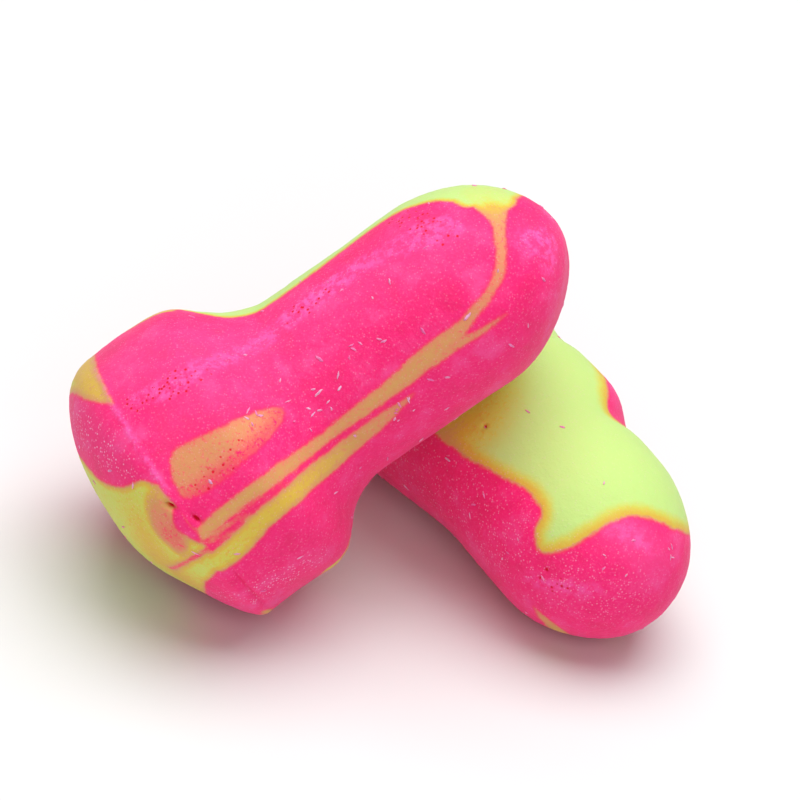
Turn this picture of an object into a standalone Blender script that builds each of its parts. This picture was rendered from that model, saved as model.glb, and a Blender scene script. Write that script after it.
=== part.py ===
"""A pair of two-colour foam ear plugs, one lying flat and the other leaning across it.

Each plug is one solid piece of slow-recovery foam, moulded in a single shot from two colours. It is a
turned body on its own +Z axis: a shallow domed base, a wide flange that stays outside the ear, a
shoulder, a slim neck and a stem that swells into a round tip. Nothing is fitted to it or inside it.

The pair stands on the plane z = 0. The lower plug lies on its flange and its stem. The upper plug
stands on the rim of its flange and leans on the lower one's side, a small clearance away from it.
"""

import math

import bmesh
import bpy
from mathutils import Matrix, Vector
from mathutils.bvhtree import BVHTree

# One plug, in metres, from the crown of its base to the end of its tip.
PLUG_LENGTH = 0.0272
DOME_HEIGHT = 0.0038
FLANGE_RADIUS = 0.0078
FLANGE_SIDE = 0.0041
SHOULDER_LENGTH = 0.0046
NECK_RADIUS = 0.0052
STEM_RADIUS = 0.0053
TIP_LENGTH = 0.0065
DOME_FULLNESS = 2.6

# The base's crown sits off the axis, where the mould was filled.
CROWN_OFFSET = 0.0012
UPPER_CROWN_DIRECTION = math.radians(140)
LOWER_CROWN_DIRECTION = math.radians(-120)

# The lower plug hasn't sprung back all the way: its flange is tighter and its neck is fuller.
FLANGE_SQUEEZE = 0.0008
NECK_SWELL = 0.0003

# How the two lie: headings about +Z, the upper one's lean, and where its axis, carried on past its
# tip, passes over the lower one's axis. The upper plug then comes up to the lower one's side.
LOWER_HEADING = math.radians(-45)
UPPER_HEADING = math.radians(28.7)
UPPER_TILT = math.radians(40)
CROSSING_ON_LOWER = 0.0151
LEANING_CLEARANCE = 0.0003

# Foam yields where it rests, so each contact is a small flat this deep into the round.
CONTACT_FLAT = 0.0002

# Mesh fineness.
SEGMENTS_ROUND = 40
STEPS_DOME = 6
STEPS_FLANGE = 2
STEPS_SHOULDER = 6
STEPS_STEM = 4
STEPS_TIP = 7
BISECTIONS = 30
WELD_DISTANCE = 0.000001

PINK_FOAM = (0.93, 0.03, 0.24, 1.0)
YELLOW_FOAM = (0.74, 0.90, 0.20, 1.0)
FOAM_ROUGHNESS = 0.8


def plug_outline(flange_radius, neck_radius):
    """Points (radius, height) from the middle of the base to the end of the tip."""
    points = [(0.0, 0.0)]
    for step in range(1, STEPS_DOME + 1):
        share = step / STEPS_DOME
        points.append((flange_radius * share, DOME_HEIGHT * share**DOME_FULLNESS))
    shoulder_start = DOME_HEIGHT + FLANGE_SIDE
    for step in range(1, STEPS_FLANGE + 1):
        points.append((flange_radius, DOME_HEIGHT + FLANGE_SIDE * step / STEPS_FLANGE))
    for step in range(1, STEPS_SHOULDER + 1):
        share = step / STEPS_SHOULDER
        points.append((
            eased(flange_radius, neck_radius, share),
            shoulder_start + SHOULDER_LENGTH * share,
        ))
    neck = shoulder_start + SHOULDER_LENGTH
    tip_start = PLUG_LENGTH - TIP_LENGTH
    for step in range(1, STEPS_STEM + 1):
        share = step / STEPS_STEM
        points.append((
            eased(neck_radius, STEM_RADIUS, share),
            neck + (tip_start - neck) * share,
        ))
    for step in range(1, STEPS_TIP + 1):
        angle = math.pi / 2 * step / STEPS_TIP
        points.append((
            max(STEM_RADIUS * math.cos(angle), 0.0),
            tip_start + TIP_LENGTH * math.sin(angle),
        ))
    points[-1] = (0.0, PLUG_LENGTH)
    return points


def eased(start, end, share):
    """A value that leaves start and reaches end with no corner."""
    return start + (end - start) * (1 - math.cos(math.pi * share)) / 2


def turned_plug(outline, crown_direction):
    """The outline turned about +Z as a closed bmesh, with its crown moved off the axis."""
    plug = bmesh.new()
    line = [plug.verts.new((radius, 0.0, height)) for radius, height in outline]
    edges = [plug.edges.new(pair) for pair in zip(line, line[1:])]
    bmesh.ops.spin(
        plug,
        geom=line + edges,
        cent=(0.0, 0.0, 0.0),
        axis=(0.0, 0.0, 1.0),
        angle=2 * math.pi,
        steps=SEGMENTS_ROUND,
        use_merge=True,
    )
    bmesh.ops.remove_doubles(plug, verts=plug.verts, dist=WELD_DISTANCE)
    bmesh.ops.recalc_face_normals(plug, faces=plug.faces)
    lean = Vector((math.cos(crown_direction), math.sin(crown_direction), 0.0)) * CROWN_OFFSET
    for vert in plug.verts:
        if vert.co.z < DOME_HEIGHT:
            vert.co += lean * (1 - vert.co.z / DOME_HEIGHT)
    return plug


def turned_to(heading, tilt):
    """The rotation that takes +Z to a heading about the world's +Z, raised by a tilt."""
    return Matrix.Rotation(heading, 4, "Z") @ Matrix.Rotation(math.pi / 2 - tilt, 4, "Y")


def lowest(plug, rotation, above=-1.0, below=1.0):
    """The lowest height of a plug's points that lie between two heights on its own axis."""
    return min((rotation @ v.co).z for v in plug.verts if above <= v.co.z <= below)


def solved(low, high, is_low):
    """The value between low and high where is_low turns from true to false."""
    for _ in range(BISECTIONS):
        middle = (low + high) / 2
        if is_low(middle):
            low = middle
        else:
            high = middle
    return (low + high) / 2


def lying_tilt(plug, middle):
    """The tilt at which a plug lies on its flange and its stem alike."""
    return solved(
        math.radians(-60),
        math.radians(30),
        lambda tilt: lowest(plug, turned_to(0, tilt), above=middle)
        < lowest(plug, turned_to(0, tilt), below=middle),
    )


def standing(plug, heading, tilt, crossing):
    """The placing that stands a plug on z = 0, with its axis crossing the world's at this length."""
    rotation = turned_to(heading, tilt)
    on_axis = rotation @ Vector((0.0, 0.0, crossing))
    rise = -lowest(plug, rotation) - CONTACT_FLAT
    return Matrix.Translation((-on_axis.x, -on_axis.y, rise)) @ rotation


def gap_between(tree, placing, points):
    """The least distance from world points to a plug, negative where a point is inside it."""
    to_plug = placing.inverted()
    least = 1.0
    for point in points:
        own = to_plug @ point
        near, normal, _, distance = tree.find_nearest(own)
        least = min(least, distance if (own - near).dot(normal) > 0 else -distance)
    return least


def flatten_contacts(plug, placing):
    """Cuts a plug off level with z = 0, which leaves a small flat wherever it rests."""
    to_plug = placing.inverted()
    cut = bmesh.ops.bisect_plane(
        plug,
        geom=plug.verts[:] + plug.edges[:] + plug.faces[:],
        plane_co=to_plug @ Vector((0.0, 0.0, 0.0)),
        plane_no=to_plug.to_3x3() @ Vector((0.0, 0.0, -1.0)),
        clear_outer=True,
        dist=WELD_DISTANCE,
    )
    rims = [item for item in cut["geom_cut"] if isinstance(item, bmesh.types.BMEdge)]
    bmesh.ops.edgeloop_fill(plug, edges=rims)
    bmesh.ops.recalc_face_normals(plug, faces=plug.faces)


def foam(name, colour):
    material = bpy.data.materials.new(name)
    material.use_nodes = True
    shader = material.node_tree.nodes["Principled BSDF"]
    shader.inputs["Base Color"].default_value = colour
    shader.inputs["Roughness"].default_value = FOAM_ROUGHNESS
    shader.inputs["Metallic"].default_value = 0.0
    return material


def plug_object(name, plug, placing, parent, material):
    mesh = bpy.data.meshes.new(name)
    plug.to_mesh(mesh)
    mesh.shade_smooth()
    mesh.materials.append(material)
    made = bpy.data.objects.new(name, mesh)
    made.parent = parent
    made.matrix_local = placing
    bpy.context.collection.objects.link(made)
    return made


def centre_on_origin(parent, plugs):
    """Moves the pair so that the middle of its box stands on the origin."""
    bpy.context.view_layer.update()
    points = [plug.matrix_world @ vert.co for plug in plugs for vert in plug.data.vertices]
    for axis in (0, 1):
        values = [point[axis] for point in points]
        parent.location[axis] = -(min(values) + max(values)) / 2


for old in list(bpy.data.objects):
    bpy.data.objects.remove(old)

pair = bpy.data.objects.new("pair_of_plugs", None)
bpy.context.collection.objects.link(pair)

neck_height = DOME_HEIGHT + FLANGE_SIDE + SHOULDER_LENGTH
lower = turned_plug(
    plug_outline(FLANGE_RADIUS - FLANGE_SQUEEZE, NECK_RADIUS + NECK_SWELL),
    LOWER_CROWN_DIRECTION,
)
lower_placing = standing(lower, LOWER_HEADING, lying_tilt(lower, neck_height), CROSSING_ON_LOWER)
lower_points = [lower_placing @ vert.co for vert in lower.verts]

upper = turned_plug(plug_outline(FLANGE_RADIUS, NECK_RADIUS), UPPER_CROWN_DIRECTION)
upper_tree = BVHTree.FromBMesh(upper)
crossing_on_upper = solved(
    PLUG_LENGTH / 2,
    3 * PLUG_LENGTH,
    lambda crossing: gap_between(
        upper_tree, standing(upper, UPPER_HEADING, UPPER_TILT, crossing), lower_points
    ) < LEANING_CLEARANCE,
)
upper_placing = standing(upper, UPPER_HEADING, UPPER_TILT, crossing_on_upper)

flatten_contacts(lower, lower_placing)
flatten_contacts(upper, upper_placing)
lower_object = plug_object("lower_plug", lower, lower_placing, pair, foam("yellow_foam", YELLOW_FOAM))
upper_object = plug_object("upper_plug", upper, upper_placing, pair, foam("pink_foam", PINK_FOAM))
centre_on_origin(pair, [lower_object, upper_object])
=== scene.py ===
import math

import bpy
import numpy as np
from mathutils import Matrix, Vector, noise


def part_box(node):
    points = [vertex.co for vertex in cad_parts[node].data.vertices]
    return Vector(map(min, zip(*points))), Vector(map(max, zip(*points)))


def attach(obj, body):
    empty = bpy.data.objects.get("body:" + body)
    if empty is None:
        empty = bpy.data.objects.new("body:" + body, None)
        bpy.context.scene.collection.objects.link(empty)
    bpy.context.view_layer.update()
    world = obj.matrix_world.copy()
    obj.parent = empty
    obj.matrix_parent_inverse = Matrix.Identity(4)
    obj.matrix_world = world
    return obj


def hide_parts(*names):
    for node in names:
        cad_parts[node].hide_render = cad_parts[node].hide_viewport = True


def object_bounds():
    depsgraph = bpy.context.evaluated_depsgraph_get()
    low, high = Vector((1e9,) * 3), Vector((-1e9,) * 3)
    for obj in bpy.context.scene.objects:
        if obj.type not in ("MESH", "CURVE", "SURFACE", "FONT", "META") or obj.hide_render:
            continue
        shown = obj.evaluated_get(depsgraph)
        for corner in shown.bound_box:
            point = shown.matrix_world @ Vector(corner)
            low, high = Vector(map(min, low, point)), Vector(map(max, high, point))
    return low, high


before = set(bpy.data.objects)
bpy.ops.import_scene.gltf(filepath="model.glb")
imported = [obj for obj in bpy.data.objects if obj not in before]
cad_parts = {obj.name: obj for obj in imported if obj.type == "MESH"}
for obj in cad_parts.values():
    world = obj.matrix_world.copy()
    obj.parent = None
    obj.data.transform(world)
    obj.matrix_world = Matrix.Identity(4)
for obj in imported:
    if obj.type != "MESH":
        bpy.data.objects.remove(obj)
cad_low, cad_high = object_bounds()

# ---------------------------------------------------------------------------------------------
# Camera, floor and lights.
# The pair is looked at from in front and above, with the camera rolled a little, on a plain
# pale floor under soft studio light.
# ---------------------------------------------------------------------------------------------
CAMERA_ELEVATION = math.radians(36.0)
CAMERA_ROLL = math.radians(12.96)
CAMERA_DISTANCE = 0.300
CAMERA_LENS = 264.6
CAMERA_SENSOR = 36.0
NEAREST_SEEN = 0.01
FARTHEST_SEEN = 10.0
AIM_OFFSET = Vector((-0.0001, -0.0032, -0.0001))

aim = (cad_low + cad_high) / 2 + AIM_OFFSET
camera_back = Vector((0.0, -math.cos(CAMERA_ELEVATION), math.sin(CAMERA_ELEVATION)))
camera_data = bpy.data.cameras.new("camera")
camera_data.lens = CAMERA_LENS
camera_data.sensor_width = CAMERA_SENSOR
camera_data.clip_start = NEAREST_SEEN
camera_data.clip_end = FARTHEST_SEEN
camera = bpy.data.objects.new("camera", camera_data)
camera.matrix_world = (
    Matrix.Translation(aim + camera_back * CAMERA_DISTANCE)
    @ (-camera_back).to_track_quat("-Z", "Y").to_matrix().to_4x4()
    @ Matrix.Rotation(CAMERA_ROLL, 4, "Z")
)
bpy.context.collection.objects.link(camera)
bpy.context.scene.camera = camera
bpy.context.scene.view_settings.view_transform = "Standard"

FLOOR_SIDE = 4.0
FLOOR_WHITE = (0.80, 0.80, 0.80, 1.0)
FLOOR_ROUGHNESS = 0.9
WORLD_WHITE = (1.0, 1.0, 1.0, 1.0)
WORLD_STRENGTH = 0.24

floor_mesh = bpy.data.meshes.new("floor")
half = FLOOR_SIDE / 2
floor_mesh.from_pydata(
    [(-half, -half, 0.0), (half, -half, 0.0), (half, half, 0.0), (-half, half, 0.0)],
    [],
    [(0, 1, 2, 3)],
)
floor = bpy.data.objects.new("floor", floor_mesh)
bpy.context.collection.objects.link(floor)
floor_paint = bpy.data.materials.new("floor_paint")
floor_paint.use_nodes = True
paint = floor_paint.node_tree.nodes["Principled BSDF"]
paint.inputs["Base Color"].default_value = FLOOR_WHITE
paint.inputs["Roughness"].default_value = FLOOR_ROUGHNESS
floor_mesh.materials.append(floor_paint)

world = bpy.data.worlds.new("studio")
world.use_nodes = True
world.node_tree.nodes["Background"].inputs["Color"].default_value = WORLD_WHITE
world.node_tree.nodes["Background"].inputs["Strength"].default_value = WORLD_STRENGTH
bpy.context.scene.world = world


def softbox(name, place, side, power):
    """A square soft light that faces the middle of the pair."""
    data = bpy.data.lights.new(name, "AREA")
    data.shape = "SQUARE"
    data.size = side
    data.energy = power
    lamp = bpy.data.objects.new(name, data)
    lamp.location = place
    lamp.rotation_euler = (aim - Vector(place)).to_track_quat("-Z", "Y").to_euler()
    bpy.context.collection.objects.link(lamp)


softbox("key_light", place=(0.0, 0.05, 0.50), side=0.50, power=3.1)
softbox("fill_light", place=(0.05, -0.40, 0.30), side=0.30, power=0.5)

# ---------------------------------------------------------------------------------------------
# The upper plug's shape.
# One piece of slow-recovery foam, made in one shot in a two-part mould: a full base, a rim where
# the mould's halves met, a flange, a neck and a round tip. A plug is never quite round.
# ---------------------------------------------------------------------------------------------
MM = 0.001
CELLS_ROUND = 256
RINGS = 376
UPPER_HEADING = math.radians(28.7)
UPPER_TILT = math.radians(40.0)

# The outline past the rim, as (height, radius) in millimetres from the crown of the base.
UPPER_OUTLINE = [
    (3.8, 7.80), (5.8, 7.84), (7.7, 7.78), (8.7, 7.40), (9.6, 6.66), (10.6, 5.92),
    (11.7, 5.45), (12.8, 5.24), (16.5, 5.22), (20.7, 5.31),
]
PLUG_LENGTH = 27.2
DOME_HEIGHT = 3.8
ROUND_STEPS = 59
OUTLINE_STEPS = 12
TINY = 1e-12

# How fast the base falls away towards the rim: small is full, large is flat. It differs round
# the plug, which was squeezed on the side of UPPER_FULL_SIDE.
EVEN_FALL = 0.66
UPPER_FALL_SPREAD = 0.24
UPPER_FULL_SIDE = math.radians(135)

# Soft swells and hollows, as (along, degrees, reach along, reach in degrees, lift), where along
# is millimetres over the skin from the crown, and degrees go round the axis from the underside.
UPPER_SWELLS = [
    (11.0, 142, 3.0, 30, 0.12), (8.5, 305, 1.5, 25, 0.20), (14.5, 314, 1.5, 25, 0.30),
    (32.0, 311, 3.0, 30, -0.34), (32.3, 143, 3.0, 40, -0.14), (5.0, 292, 1.6, 30, -0.14),
]
# How far the foam lies off the middle of its solid, on the plug's own axes.
UPPER_SETTLE = (-0.01, 0.01, 0.0)


def through(points, steps):
    """A smooth line through the points, as Catmull-Rom stretches of this many steps each."""
    p = np.array(points, float)
    p = np.vstack([2 * p[0] - p[1], p, 2 * p[-1] - p[-2]])
    t = (np.arange(steps) / steps)[:, None]
    line = []
    for a, b, c, d in zip(p, p[1:], p[2:], p[3:]):
        cubic = -a + 3 * b - 3 * c + d
        line.append(0.5 * (2 * b + (c - a) * t + (2 * a - 5 * b + 4 * c - d) * t**2 + cubic * t**3))
    return np.vstack(line + [p[-2][None]])


def turned_by(angle, other):
    """The turn from one angle to another, the short way round."""
    return (angle - other + math.pi) % (2 * math.pi) - math.pi


def eased(value, low, high):
    """0 below low, 1 above high, and a smooth rise between."""
    t = np.clip((value - low) / (high - low), 0, 1)
    return t * t * (3 - 2 * t)


class Skin:
    """A plug's surface: a place on it is millimetres over the skin from the crown, and an angle."""

    def __init__(self, outline, fall_spread, full_side, swells):
        rim_height, rim_radius = outline[0]
        turn = np.linspace(0, math.pi / 2, ROUND_STEPS + 1)
        fall = DOME_HEIGHT * np.cos(turn) ** (2 * EVEN_FALL)
        dome = np.stack([rim_height - fall, rim_radius * np.sin(turn)], 1)
        tip_start, stem = outline[-1]
        turn = turn[1:]
        reach = PLUG_LENGTH - tip_start
        tip = np.stack([tip_start + reach * np.sin(turn), stem * np.cos(turn)], 1)
        line = np.vstack([dome, through(outline, OUTLINE_STEPS)[1:], tip])
        steps = np.hypot(*np.diff(line, axis=0).T)
        self.along = np.concatenate([[0], np.cumsum(steps)])
        self.height = line[:, 0]
        self.radius = line[:, 1]
        self.total = self.along[-1]
        self.rim = self.along[len(dome) - 1]
        self.rim_height = rim_height
        self.rim_radius = rim_radius
        self.fall_spread = fall_spread
        self.full_side = full_side
        self.swells = swells
        self.lean = None

    def place(self, along, angle):
        """Where this place is on the plug's own axes, in millimetres, before any swell."""
        along = np.clip(along, 0, self.total)
        height = np.interp(along, self.along, self.height)
        radius = np.interp(along, self.along, self.radius)
        inward = np.sqrt(np.clip(1 - (radius / self.rim_radius) ** 2, 0, 1))
        fall = EVEN_FALL - self.fall_spread * np.cos(angle - self.full_side)
        on_dome = self.rim_height - DOME_HEIGHT * inward ** (2 * fall)
        height = np.where(along < self.rim, on_dome, height)
        if self.lean:
            arm = np.where(along < self.rim, radius / self.rim_radius, 1)
            height = height + self.lean(height, angle) * arm
        return np.stack([radius * np.cos(angle), radius * np.sin(angle), height], -1)

    def normal(self, along, angle):
        """The outward direction of the skin there."""
        near_along, near_angle = 0.02, 0.01
        along = np.clip(along, near_along, self.total - near_along)
        up = self.place(along + near_along, angle) - self.place(along - near_along, angle)
        across = self.place(along, angle + near_angle) - self.place(along, angle - near_angle)
        out = np.cross(across, up)
        return out / np.maximum(np.linalg.norm(out, axis=-1, keepdims=True), TINY)

    def point(self, along, angle, lift=0.0):
        """The place with its swells, and lifted off the skin by this many millimetres more."""
        for at, degrees, reach, spread, amount in self.swells:
            away = ((along - at) / reach) ** 2
            away = away + (turned_by(angle, math.radians(degrees)) / math.radians(spread)) ** 2
            lift = lift + amount * np.exp(-away)
        lift = np.broadcast_to(lift, np.shape(along))
        return self.place(along, angle) + self.normal(along, angle) * lift[..., None]


def grid(skin):
    """Places (along, angle) of the skin's rings between its two poles."""
    along = np.linspace(0, skin.total, RINGS + 1)[1:-1]
    angle = np.linspace(0, 2 * math.pi, CELLS_ROUND, endpoint=False)
    a, b = np.meshgrid(along, angle, indexing="ij")
    return np.concatenate([[0.0], a.ravel(), [skin.total]]), np.concatenate([[0.0], b.ravel(), [0.0]])


# Slow waves and a fine orange peel, as (size, height) in millimetres.
WAVE = (3.5, 0.05)
PEEL = (0.55, 0.016)
FINE_PEEL = (0.26, 0.010)


def wrinkled(points):
    """How far the skin of each point lies off a smooth one."""
    lift = np.empty(len(points))
    for index, point in enumerate(points):
        place = Vector(point)
        wave, peel, fine = (
            height * noise.noise(place / size) for size, height in (WAVE, PEEL, FINE_PEEL)
        )
        lift[index] = wave + (peel + fine)
    return lift


DENT_REACH = 2.0
DENT_STEEPNESS = 1.4


def dented(lift, skin, along, angle, dents):
    """The lift with small dents pressed in, as (along, degrees, length, width, turn, depth)."""
    dark = np.zeros(len(along))
    radius = np.interp(along, skin.along, skin.radius)
    for at, degrees, length, width, turn, depth in dents:
        up = along - at
        across = turned_by(angle, math.radians(degrees)) * radius
        near = (np.abs(up) < DENT_REACH) & (np.abs(across) < DENT_REACH)
        spin = math.radians(turn)
        major = (up * math.cos(spin) + across * math.sin(spin)) / length
        minor = (across * math.cos(spin) - up * math.sin(spin)) / width
        share = np.where(near, np.exp(-(major**2 + minor**2) * DENT_STEEPNESS), 0)
        lift = lift - depth * share
        dark = np.maximum(dark, share)
    return lift, dark


def lies_as(node, own_points, even_points, settle, heading, tilt):
    """World points, in metres, of a plug that lies where its even shape fills its solid's box."""
    turn = Matrix.Rotation(heading, 3, "Z") @ Matrix.Rotation(math.pi / 2 - tilt, 3, "Y")
    turn = np.array(turn).T * MM
    even = even_points @ turn
    low, high = (np.array(corner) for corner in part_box(node))
    placed = (own_points + np.array(settle)) @ turn
    placed += (low + high) / 2 - (even.min(axis=0) + even.max(axis=0)) / 2
    placed[:, 2] = np.maximum(placed[:, 2], low[2])
    return placed


def skin_mesh(name, points):
    """A closed mesh over the grid's places, with one point at each pole."""
    rings = RINGS - 1
    ids = np.arange(rings * CELLS_ROUND).reshape(rings, CELLS_ROUND) + 1
    right = np.roll(ids, -1, axis=1)
    quads = np.stack([ids[:-1], right[:-1], right[1:], ids[1:]], -1).reshape(-1, 4)
    base = [(0, int(b), int(a)) for a, b in zip(ids[0], right[0])]
    last = rings * CELLS_ROUND + 1
    top = [(last, int(a), int(b)) for a, b in zip(ids[-1], right[-1])]
    mesh = bpy.data.meshes.new(name)
    mesh.from_pydata(points.tolist(), [], base + quads.tolist() + top)
    mesh.validate()
    mesh.shade_smooth()
    made = bpy.data.objects.new(name, mesh)
    bpy.context.collection.objects.link(made)
    return made


# The parting line stands up as a thin ridge on the top of the rim and sinks to a crease below,
# and two gas bubbles broke through the skin beside it.
RIDGE_AT = 9.35
RIDGE_WIDTH = 0.16
RIDGE_LIFT = 0.09
RIDGE_SIDE = math.radians(195)
RIDGE_REACH = math.radians(38)
CREASE_AT = 9.58
CREASE_WIDTH = 0.13
CREASE_DEPTH = 0.15
CREASE_SIDE = math.radians(280)
CREASE_REACH = math.radians(17)
CREASE_SHADE = 0.42
UPPER_DENTS = [(9.05, 230.5, 0.30, 0.17, 50, 0.55), (9.75, 240, 0.28, 0.13, 75, 0.45)]

upper_skin = Skin(UPPER_OUTLINE, UPPER_FALL_SPREAD, UPPER_FULL_SIDE, UPPER_SWELLS)
along, angle = grid(upper_skin)
upper_plain = upper_skin.point(along, angle)
upper_lift = wrinkled(upper_plain)
ridge = np.exp(-(((along - RIDGE_AT) / RIDGE_WIDTH) ** 2))
raised = RIDGE_LIFT * np.exp(-((turned_by(angle, RIDGE_SIDE) / RIDGE_REACH) ** 2))
crease = np.exp(-(((along - CREASE_AT) / CREASE_WIDTH) ** 2))
crease *= np.exp(-((turned_by(angle, CREASE_SIDE) / CREASE_REACH) ** 4))
upper_lift += ridge * raised - CREASE_DEPTH * crease
upper_lift, upper_dark = dented(upper_lift, upper_skin, along, angle, UPPER_DENTS)
# Painted shade: the crease is darkened towards the holes' red, as much as CREASE_SHADE says.
upper_dark = np.maximum(upper_dark, CREASE_SHADE * crease)
upper_points = lies_as(
    "upper_plug", upper_skin.point(along, angle, upper_lift), upper_skin.place(along, angle),
    UPPER_SETTLE, UPPER_HEADING, UPPER_TILT,
)
upper_foam = skin_mesh("upper_plug_foam", upper_points)

# ---------------------------------------------------------------------------------------------
# The upper plug's colours.
# Pink and yellow-green mixes are poured together and swirl without blending. Each pour is a
# stroke or a closed patch on the skin, and thin yellow over pink turns tan and salmon.
# ---------------------------------------------------------------------------------------------


def depth_in(places, line, widths, closed):
    """How deep each place is inside a stroke or a patch, in millimetres, and the nearest point."""
    best = np.full(len(places), -np.inf)
    nearest = np.zeros(len(places))
    count = len(line) if closed else len(line) - 1
    for index in range(count):
        a, b = line[index], line[(index + 1) % len(line)]
        way = b - a
        t = np.clip((places - a) @ way / max(way @ way, TINY), 0, 1)
        away = np.linalg.norm(places - a - t[:, None] * way, axis=1)
        width = widths[index] + (widths[(index + 1) % len(line)] - widths[index]) * t
        depth = width - away
        better = depth > best
        best = np.where(better, depth, best)
        nearest = np.where(better, index + t, nearest)
    return best, nearest


def inside(along, degrees, outline):
    """Which places are inside a closed outline of (along, degrees) points."""
    found = np.zeros(len(along), bool)
    for shift in (-360, 0, 360):
        x = degrees + shift
        odd = np.zeros(len(along), bool)
        for (y1, x1), (y2, x2) in zip(outline, np.roll(outline, -1, axis=0)):
            if y1 == y2:
                continue
            crosses = (along < y1) != (along < y2)
            odd ^= crosses & (x < x1 + (x2 - x1) * (along - y1) / (y2 - y1))
        found |= odd
    return found


# A pour is felt this far from its edge, and its line has this many steps between its points.
POUR_REACH = 3.0
POUR_STEPS = 6
# How two pours share a place: the deeper one has the say, over this depth, within these limits.
SHARE_REACH = 0.12
SHARE_LIMITS = (-1.5, 0.4)
BARELY = 1e-9


class Marble:
    """The two colours over a skin: how deep each place is in the yellow mix, and how rich it is."""

    def __init__(self, skin, along, angle):
        self.skin = skin
        self.along = along
        self.degrees = np.degrees(angle) % 360
        self.places = skin.place(along, angle)
        self.depth = np.full(len(along), -POUR_REACH)
        self.rich = np.full(len(along), BARELY)
        self.weight = np.full(len(along), BARELY)
        self.veil = np.zeros(len(along))

    def near(self, points, reach):
        """The places that a stroke or patch can touch."""
        low, high = points[:, 0].min() - reach, points[:, 0].max() + reach
        return np.flatnonzero((self.along > low) & (self.along < high))

    def stroke(self, points):
        """Depth inside a stroke of (along, degrees, half width, value) points, with its value."""
        line = through(points, POUR_STEPS)
        use = self.near(line, POUR_REACH)
        middle = self.skin.place(line[:, 0], np.radians(line[:, 1]))
        depth, nearest = depth_in(self.places[use], middle, np.maximum(line[:, 2], 0), False)
        value = np.interp(nearest, np.arange(len(line)), line[:, 3])
        return use, depth, value

    def patch(self, points):
        """Depth inside a closed patch of (along, degrees) points."""
        looped = through(list(points) + [points[0]], POUR_STEPS)[:-1]
        use = self.near(looped, POUR_REACH)
        edge = self.skin.place(looped[:, 0], np.radians(looped[:, 1]))
        away, _ = depth_in(self.places[use], edge, np.zeros(len(edge)), True)
        sign = np.where(inside(self.along[use], self.degrees[use], looped), -1, 1)
        return use, away * sign

    def crown(self, points):
        """Depth inside a patch over the crown, whose edge goes once round the axis."""
        first = (points[0][0], points[0][1] + 360)
        looped = through(list(points) + [first], POUR_STEPS)
        use = self.near(looped, POUR_REACH + looped[:, 0].max())
        edge = self.skin.place(looped[:, 0], np.radians(looped[:, 1]))
        away, _ = depth_in(self.places[use], edge, np.zeros(len(edge)), False)
        turned = (self.degrees[use] - looped[0, 1]) % 360 + looped[0, 1]
        reach = np.interp(turned, looped[:, 1], looped[:, 0])
        return use, away * np.where(self.along[use] < reach, -1, 1)

    def pour(self, use, depth, rich):
        """Yellow mix runs here, this rich."""
        self.depth[use] = np.maximum(self.depth[use], depth)
        weight = np.exp(np.clip(depth, *SHARE_LIMITS) / SHARE_REACH)
        self.rich[use] += weight * rich
        self.weight[use] += weight

    def yellow_stroke(self, points):
        use, depth, value = self.stroke(points)
        self.pour(use, depth, value)

    def yellow_patch(self, points, rich):
        use, depth = self.patch(points)
        self.pour(use, depth, rich)

    def yellow_crown(self, points, rich):
        use, depth = self.crown(points)
        self.pour(use, depth, rich)

    def pink_stroke(self, points):
        use, depth, _ = self.stroke([(*point, 0.0) for point in points])
        self.depth[use] = np.minimum(self.depth[use], -depth)

    def pink_patch(self, points):
        use, depth = self.patch(points)
        self.depth[use] = np.minimum(self.depth[use], -depth)

    def veil_stroke(self, points, soft):
        """A thin wash of pink over the yellow, as strong as its value; also laid as painted shade."""
        use, depth, value = self.stroke(points)
        self.veil[use] = np.maximum(self.veil[use], value * eased(depth, -soft, soft))

    def wash(self, strokes, soft):
        """The strokes' values with soft edges, and 0 elsewhere."""
        total = np.zeros(len(self.along))
        for points in strokes:
            use, depth, value = self.stroke(points)
            total[use] = np.maximum(total[use], value * eased(depth, -soft, soft))
        return total

    def paint(self, mesh, more):
        """Puts the colours on the mesh's points as attributes, with any others that are named."""
        fields = {
            "mix_depth": np.maximum(self.depth, -POUR_REACH),
            "mix_rich": self.rich / self.weight - self.veil,
        }
        for name, values in {**fields, **more}.items():
            attribute = mesh.attributes.new(name, "FLOAT", "POINT")
            attribute.data.foreach_set("value", values.astype(np.float32))


upper_marble = Marble(upper_skin, along, angle)
# The base is yellow over its crown, and the yellow runs out to the rim where the stripes start.
upper_marble.yellow_crown([
    (4.9, 160), (5.3, 186), (5.8, 200), (7.1, 212), (8.5, 216), (9.0, 219.5), (9.25, 225), (9.3, 240),
    (9.3, 262), (8.6, 264), (7.4, 270.5), (6.8, 278), (6.2, 290), (5.6, 310), (4.5, 340), (3.5, 370),
    (3.5, 400), (4.0, 440), (4.5, 480),
], 0.95)
# A second yellow patch lies under the rim, greener at its far edge.
upper_marble.yellow_patch([
    (7.4, 140), (8.1, 158), (8.5, 170), (9.2, 183), (9.45, 183), (9.5, 160), (9.5, 140), (9.4, 118),
    (8.0, 112), (7.2, 124),
], 0.86)
upper_marble.yellow_stroke([(7.9, 136, 0.6, 0.99), (8.2, 146, 0.5, 0.99), (8.5, 156, 0.3, 0.97)])
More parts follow.
